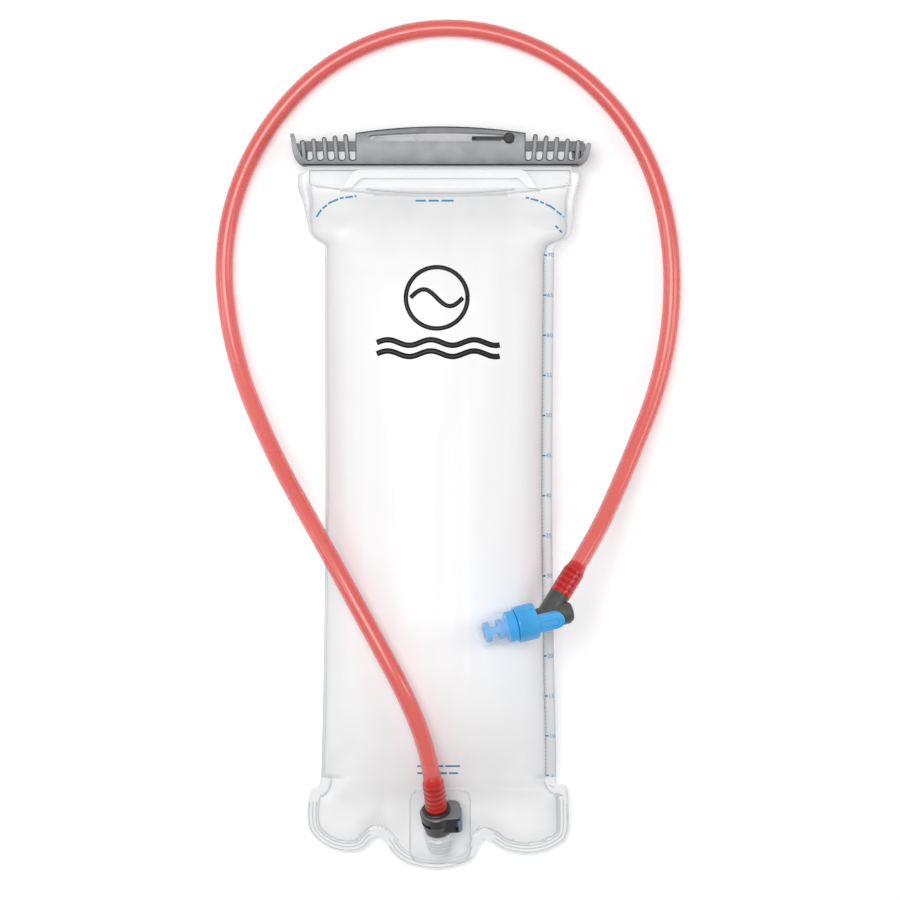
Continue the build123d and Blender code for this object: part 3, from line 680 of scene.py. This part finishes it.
def film_grid():
    """Rows of (point in the plane, s across, f crown factor, weld fade) for both films."""
    n = 2.4
    profile = []
    for j in range(ACROSS + 1):
        a = math.pi * (1 - j / ACROSS)
        c, s = math.cos(a), math.sin(a)
        profile.append((math.copysign(abs(c) ** (2 / n), c), abs(s) ** (2 / n)))
    columns = [("left", 0.0), ("left", 0.5)] + [("in", k) for k in range(ACROSS + 1)]
    columns += [("right", 0.35), ("right", 0.7), ("right", 1.0)]

    def across(column, left, right, left_weld, right_weld):
        kind, value = column
        inner_left, inner_right = left + left_weld, right - right_weld
        if kind == "left":
            return left + value * left_weld, 0.0
        if kind == "right":
            return inner_right + value * right_weld, 0.0
        s, f = profile[value]
        return (inner_left + inner_right) / 2 + s * (inner_right - inner_left) / 2, f

    rows = []
    for i in range(ROWS_ABOVE + 1):
        y = 188.0 + (LOBE_TOP - 188.0) * i / ROWS_ABOVE
        edges = [along(EDGES, y, k) for k in (1, 2, 3, 4)]
        row = []
        for column in columns:
            x, f = across(column, *edges)
            row.append((x, y, f, 99.0))
        rows.append(row)
    left_side = bezier_chain(LEFT_LOBE_SIDE, ROWS_BELOW)
    right_side = bezier_chain(RIGHT_LOBE_SIDE, ROWS_BELOW)
    top = [Vector(p[:2]) for p in rows[-1]]
    shares = [(p.x - top[0].x) / (top[-1].x - top[0].x) for p in top]
    fine = bezier_chain(LOBE_BOTTOM, 600)
    bottom = []
    for u in shares:
        want = fine[0].x + u * (fine[-1].x - fine[0].x)
        bottom.append(min(fine, key=lambda p: abs(p.x - want)))
    for i in range(1, ROWS_BELOW + 1):
        t = 1 - (1 - i / ROWS_BELOW) ** 1.35
        k = min(int(t * ROWS_BELOW), ROWS_BELOW - 1)
        rest = t * ROWS_BELOW - k
        left = left_side[k].lerp(left_side[k + 1], rest)
        right = right_side[k].lerp(right_side[k + 1], rest)
        row = []
        for u, up, down, column in zip(shares, top, bottom, columns):
            corners = (up * (1 - t) + down * t + left * (1 - u) + right * u
                       - (top[0] * (1 - t) * (1 - u) + top[-1] * (1 - t) * u
                          + bottom[0] * t * (1 - u) + bottom[-1] * t * u))
            f = across(column, 0.0, 100.0, 1.6, 5.9)[1]
            _, _, edge_distance = LOBE_EDGE.find((corners.x, corners.y, 0.0))
            row.append((corners.x, corners.y, f, edge_distance))
        rows.append(row)
    return rows


GRID = film_grid()
LOBE_WELD = 6.0


def film_height(x, y, f, to_bottom, front):
    """The height of the front or back film in millimetres: seam, swell, creases and ripples."""
    seam, rise = along(SWELL, y, 1), along(SWELL, y, 2 if front else 3)
    if front:
        shape = f
    else:
        shape = min(1.0, f * 1.9) ** 0.9
    fade = margin_fade(to_bottom - LOBE_WELD, 8.0) if to_bottom < 40 else 1.0
    swell = rise * shape * fade
    drape = 1.0 if f > 0.02 else 0.0
    if front:
        press = crease_depth(x, y) * min(1.0, swell / 4.0)
        ripple = 0.45 * noise.noise(Vector((x / 26.0, y / 85.0, 3.0)))
        ripple += 0.30 * noise.noise(Vector((x / 11.0, y / 30.0, 9.0)))
        ripple += 0.55 * noise.noise(Vector((x / 9.0, y / 160.0, 31.0)))
        return seam + swell - press + drape * ripple * min(1.0, swell / 6.0)
    ripple = 0.8 * noise.noise(Vector((x / 20.0, y / 40.0, 20.0))) * (1 - shape)
    return max(0.35, seam - 0.9 - swell + min(0.0, ripple))


def mouth_edge(x):
    """The curved upper edge of the frosted film."""
    return 163.8 + 6.2 * (x / 70.0) ** 2


def frost(x, y, f, to_bottom):
    """1 on the frosted film inside the welds, 0 on the clear mouth and margins."""
    if y > mouth_edge(x) or to_bottom < LOBE_WELD:
        return 0.0
    return 1.0 if f > 0.0 or y < 130 else 0.2


def film_mesh(name, front):
    """One film as a grid of quads, with the attributes that its material reads."""
    bm = bmesh.new()
    mask = bm.verts.layers.float.new("frost")
    side_shade = bm.verts.layers.float.new("side_shade")
    verts = []
    for row in GRID:
        line = []
        for x, y, f, to_bottom in row:
            v = bm.verts.new(mm(x, y, film_height(x, y, f, to_bottom, front)))
            v[mask] = frost(x, y, f, to_bottom)
            # How strongly painted shade greys the film here, growing towards its sides.
            v[side_shade] = max(0.0, 1.0 - 1.25 * f) ** 1.5
            line.append(v)
        verts.append(line)
    for low, high in zip(verts, verts[1:]):
        for j in range(len(low) - 1):
            corners = (low[j], high[j], high[j + 1], low[j + 1])
            bm.faces.new(corners if front else corners[::-1])
    return new_mesh(name, bm)


front_mesh = film_mesh("film_front", True)
FRONT_TREE = BVHTree.FromPolygons([v.co for v in front_mesh.vertices],
                                  [p.vertices for p in front_mesh.polygons])
front = link("film_front", front_mesh, "film", "reservoir", ["front_panel"])
back = link("film_back", film_mesh("film_back", False), "film_back", "reservoir", ["back_panel"])
for film in (front, back):
    thick = film.modifiers.new("thickness", "SOLIDIFY")
    thick.thickness = FILM_THICKNESS
    thick.offset = -1.0


def on_film(x, y, lift=0.0):
    """The point on the front film under (x, y), in millimetres, raised by lift."""
    hit, normal, _, _ = FRONT_TREE.ray_cast(mm(x, y, 200.0), Vector((0, 0, -1)))
    if hit is None:
        return mm(x, y, along(SWELL, y, 1) + lift)
    return hit + (normal if normal.z > 0 else -normal) * lift * MM


def strip_on_film(name, points, width, thickness, lift):
    """The mesh of a thin raised strip that follows the front film along points in the plane."""
    bm = bmesh.new()
    sections = []
    for i, (x, y) in enumerate(points):
        ahead = Vector(points[min(i + 1, len(points) - 1)]) - Vector(points[max(i - 1, 0)])
        side = Vector((-ahead.y, ahead.x)).normalized() * width / 2
        low = [on_film(x + s * side.x, y + s * side.y, lift) for s in (-1, 1)]
        middle = on_film(x, y, lift + thickness)
        sections.append([bm.verts.new(p) for p in (low[0], middle, low[1])])
    skin(bm, sections)
    return new_mesh(name, bm)


def joined_strips(name, paths, width, thickness, material, lift=0.0):
    """Several strips on the film as one piece."""
    bm = bmesh.new()
    for i, path in enumerate(paths):
        strip = strip_on_film("%s_%d" % (name, i), path, width, thickness, lift)
        bm.from_mesh(strip)
        bpy.data.meshes.remove(strip)
    return link(name, new_mesh(name, bm), material, "reservoir")


def stroke(points, step=2.0):
    """Points along straight lines through the given ones, close enough to follow the film."""
    out = [points[0]]
    for (ax, ay), (bx, by) in zip(points, points[1:]):
        count = max(1, round(math.hypot(bx - ax, by - ay) / step))
        out += [(ax + (bx - ax) * k / count, ay + (by - ay) * k / count)
                for k in range(1, count + 1)]
    return out


def dashes(points, lengths, gap):
    """Short strokes along a path, one for each length."""
    path = [Vector(p) for p in stroke(points, 0.5)]
    out, start = [], 0
    for length in lengths:
        end = min(len(path) - 1, start + max(1, round(length / 0.5)))
        if end <= start:
            break
        out.append([tuple(p) for p in path[start:end + 1]])
        start = end + round(gap / 0.5)
        if start >= len(path) - 1:
            break
    return out


# ---------------------------------------------------------------- weld lines
def lobe_line(offset, keep):
    """A line inside the film's lower edge, where keep says."""
    points = []
    for a, b in zip(OUTLINE[::8], OUTLINE[8::8]):
        inward = Vector((-(b - a).y, (b - a).x)).normalized()
        p = a + inward * offset
        if keep(p):
            points.append((p.x, p.y))
    return points


LOBES = [lambda p: p.x < -37.5 and p.y < -163, lambda p: -28.5 < p.x < 17.5 and p.y < -184,
         lambda p: p.x > 28 and p.y < -163]
weld_paths = [lobe_line(offset, lobe) for lobe in LOBES for offset in (1.0, 2.9, 4.7)]
joined_strips("lobe_weld_lines", weld_paths, 0.4, 0.15, "weld")
inner_edge = [lobe_line(6.1, lambda p: p.x < 0 and -190 < p.y < -152 and p.x < -37),
              lobe_line(6.1, lambda p: p.x > 24 and p.y < -153)]
joined_strips("lobe_inner_welds", inner_edge, 0.7, 0.3, "weld_pale")
mouth_paths = [[(x, mouth_edge(x)) for x in range(-70, 71, 2)],
               [(x, mouth_edge(x) + 2.0) for x in range(-40, 41, 2)]]
joined_strips("mouth_weld_lines", mouth_paths, 0.8, 0.35, "weld_pale")
frame_paths = [stroke([(-71.0, 171.0), (-71.0, 178.0), (70.0, 178.0), (70.0, 171.0)])]
joined_strips("mouth_outline", frame_paths, 0.5, 0.3, "weld", lift=1.3)
joined_strips("side_weld_line", [stroke([(55.6, 130.0), (54.6, 0.0), (56.8, -149.0)])], 0.4, 0.15,
              "weld_pale")

# ---------------------------------------------------------------- printing
SCALE_TOP, SCALE_PITCH, SCALE_MARKS = 131.9, 21.66, 14


def strip_x(y):
    """The middle of the right weld strip."""
    return along(EDGES, y, 2) - along(EDGES, y, 4) / 2


def number_mesh(text, x, y, size):
    """A small number laid on the film."""
    curve = bpy.data.curves.new("number", "FONT")
    curve.body = text
    curve.size = size
    curve.align_x, curve.align_y = "CENTER", "CENTER"
    curve.extrude = 0.02
    holder = bpy.data.objects.new("number", curve)
    mesh = bpy.data.meshes.new_from_object(holder)
    base = on_film(x, y, 0.12)
    for v in mesh.vertices:
        v.co = base + v.co * MM
    bpy.data.objects.remove(holder)
    bpy.data.curves.remove(curve)
    return mesh


def add_scale():
    majors, ticks, bm = [], [], bmesh.new()
    for k in range(SCALE_MARKS):
        y = SCALE_TOP - SCALE_PITCH * k
        x = strip_x(y)
        majors.append(stroke([(x - 2.6, y), (x - 0.9, y)], 0.8))
        digits = number_mesh(str(5 * (SCALE_MARKS - k)), x + 1.0, y, 3.3)
        bm.from_mesh(digits)
        bpy.data.meshes.remove(digits)
        for j in range(1, 10):
            ty = y - SCALE_PITCH * j / 10
            if ty > -149:
                ticks.append(stroke([(strip_x(ty) - 2.7, ty), (strip_x(ty) - 1.9, ty)], 0.5))
    link("scale_numbers", new_mesh("scale_numbers", bm, False), "print_blue", "reservoir")
    joined_strips("scale_marks", majors, 0.8, 0.1, "print_blue", lift=LIFT_PRINT)
    joined_strips("scale_ticks", ticks, 0.3, 0.1, "print_pale", lift=LIFT_PRINT)


def add_print():
    arcs = dashes([(-67.0, 152.5), (-64.5, 156.5), (-60.0, 160.3), (-54.0, 162.8), (-45.5, 164.0)],
                  [4.5, 3.0, 6.0, 2.0, 4.0, 3.0], 1.0)
    arcs += dashes([(46.0, 163.2), (53.0, 161.3), (60.0, 158.0), (66.5, 152.6)],
                   [2.0, 4.5, 2.0, 6.0, 3.5, 3.0], 1.0)
    arcs += dashes([(-13.5, 161.3), (11.0, 161.3)], [5.5, 5.5, 6.5], 1.5)
    arcs += dashes([(62.0, 147.5), (65.5, 144.0)], [2.0, 2.0], 1.0)
    joined_strips("fill_print", arcs, 1.0, 0.1, "print_blue", lift=LIFT_PRINT)
    lines = dashes([(-12.5, -143.6), (12.0, -143.6)], [4.5, 2.5, 5.0, 8.0], 1.0)
    lines += dashes([(-12.5, -147.6), (12.0, -147.6)], [5.5, 3.5, 5.0, 5.0], 1.0)
    joined_strips("care_print", lines, 1.0, 0.1, "print_blue", lift=LIFT_PRINT)


def add_mark():
    """A generic mark: a ring with a swell across it, over two heavy waves."""
    ring = [(-2.0 + 16.5 * math.cos(math.radians(6 * k)), 108.0 + 16.5 * math.sin(math.radians(6 * k)))
            for k in range(61)]
    swell = [(-16.0 + 28.0 * k / 40, 108.0 + 4.5 * math.sin(k / 40 * 2 * math.pi)) for k in range(41)]
    joined_strips("mark", [ring, swell], 2.4, 0.12, "print_black", lift=LIFT_PRINT)
    waves = [[(-34.0 + 0.9 * k, y + 1.5 * math.sin(k / 77 * 6 * math.pi)) for k in range(74)]
             for y in (84.0, 78.0)]
    joined_strips("mark_waves", waves, 3.0, 0.12, "print_black", lift=LIFT_PRINT)


add_scale()
add_print()
add_mark()


# ---------------------------------------------------------------- port patch and leash strap
def add_patch():
    """The welded patch round the port: a soft-edged rounded rectangle that lies on the film."""
    low, high, r, across, up = (-17.1, -198.2), (16.5, -156.0), 7.0, 34, 42
    bm = bmesh.new()
    verts = []
    for i in range(up + 1):
        line = []
        for j in range(across + 1):
            x = low[0] + (high[0] - low[0]) * j / across
            y = low[1] + (high[1] - low[1]) * i / up
            cx = min(max(x, low[0] + r), high[0] - r)
            cy = min(max(y, low[1] + r), high[1] - r)
            away = math.hypot(x - cx, y - cy)
            if away > r:
                x, y = cx + (x - cx) * r / away, cy + (y - cy) * r / away
                away = r
            edge = min(r - away if away > 0 else r, x - low[0], high[0] - x, y - low[1], high[1] - y)
            line.append(bm.verts.new(on_film(x, y, 0.12 + 0.75 * min(1.0, edge / 1.2))))
        verts.append(line)
    for a, b in zip(verts, verts[1:]):
        for j in range(across):
            bm.faces.new((a[j], a[j + 1], b[j + 1], b[j]))
    bmesh.ops.remove_doubles(bm, verts=bm.verts, dist=0.00001)
    link("port_patch_soft", new_mesh("port_patch_soft", bm), "patch", "reservoir",
         ["port_patch"])
    outline = []
    for corner, start in (((high[0] - r, high[1] - r), 0), ((low[0] + r, high[1] - r), 90),
                          ((low[0] + r, low[1] + r), 180), ((high[0] - r, low[1] + r), 270)):
        for k in range(7):
            a = math.radians(start + 15 * k)
            outline.append((corner[0] + (r - 0.5) * math.cos(a), corner[1] + (r - 0.5) * math.sin(a)))
    joined_strips("port_patch_edge", [stroke(outline + outline[:1], 1.5)], 0.6, 0.3, "weld_pale", lift=0.5)


add_patch()


def add_strap():
    """The leash strap: out of the slot at its left end, then over the bar's face to the knob."""
    places = [(17.0, 19.1), (17.1, 20.6), (17.4, 22.2), (18.1, 23.6), (19.4, 24.4)]
    places += [(20.5 + 15.1 * k / 20, 24.57) for k in range(21)]
    bm = bmesh.new()
    loops = []
    for i, (x, z) in enumerate(places):
        before, after = places[max(i - 1, 0)], places[min(i + 1, len(places) - 1)]
        run = Vector((after[0] - before[0], after[1] - before[1])).normalized() * 0.14
        loops.append([bm.verts.new(mm(x - c * run.y, 195.1 + b, z + c * run.x))
                      for b, c in ((-1, -1), (1, -1), (1, 1), (-1, 1))])
    skin(bm, loops)
    mesh = new_mesh("leash_strap_soft", bm, False)
    piece = link("leash_strap_soft", mesh, "leash", None, ["leash_strap"])
    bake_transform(piece)


def add_button_spring():
    """A wire coil in the button's pocket."""
    across = Vector((1, 0, 0)) - AXIS * AXIS.x
    across.normalize()
    side = AXIS.cross(across)
    centre = CONNECT + side * 2.4 * MM + AXIS * 6.75 * MM
    start, length, turns, wire, around = 8.3, 3.0, 4, 0.17, 8
    bm = bmesh.new()
    loops = []
    for k in range(turns * 20 + 1):
        a = 2 * math.pi * k / 20
        out = math.cos(a) * side + math.sin(a) * AXIS
        place = centre + across * (start + length * k / (turns * 20)) * MM + out * 0.8 * MM
        loops.append([bm.verts.new(place + (math.cos(b) * out + math.sin(b) * across) * wire * MM)
                      for b in (2 * math.pi * j / around for j in range(around))])
    skin(bm, loops)
    mesh = new_mesh("button_spring_coil", bm)
    piece = link("button_spring_coil", mesh, "steel", "reservoir", ["button_spring"])
    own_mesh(piece)


add_button_spring()
add_strap()


# ---------------------------------------------------------------- CAD nodes keep their shapes
NODE_MATERIAL = {
    "front_mouth_rail": "rail", "back_mouth_rail": "rail_back", "hang_tab": "tab", "slide_bar": "bar",
    "leash_knob": "leash", "port_spout": "spout", "socket_body": "socket", "socket_seal": "seal",
    "latch_plate": "fitting", "release_button": "button", "poppet": "fitting",
    "poppet_spring": "steel", "plug_body": "fitting", "plug_o_ring": "seal",
    "valve_elbow": "elbow", "valve_o_rings": "seal", "elbow_end_cap": "elbow",
    "shutoff_collar": "blue", "shutoff_spool": "blue", "bite_core": "core", "bite_o_ring": "seal",
    "bite_sheath": "silicone",
}
BEVEL = {"slide_bar": 0.35, "socket_body": 0.3, "release_button": 0.2, "valve_elbow": 0.3,
         "shutoff_collar": 0.3, "front_mouth_rail": 0.3, "back_mouth_rail": 0.3, "plug_body": 0.15,
         "bite_core": 0.2, "port_spout": 0.25, "bite_sheath": 0.2}
for node, material in NODE_MATERIAL.items():
    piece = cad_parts[node]
    if not piece.data.materials:
        piece.data.materials.append(MAT[material])
    for k in range(len(piece.data.materials)):
        piece.data.materials[k] = MAT[material]
    if node in BEVEL:
        bevel = piece.modifiers.new("edges", "BEVEL")
        bevel.width = BEVEL[node] * MM
        bevel.segments = 2
        bevel.limit_method = "ANGLE"
        bevel.angle_limit = math.radians(38)
        bevel.harden_normals = True

add_studio()
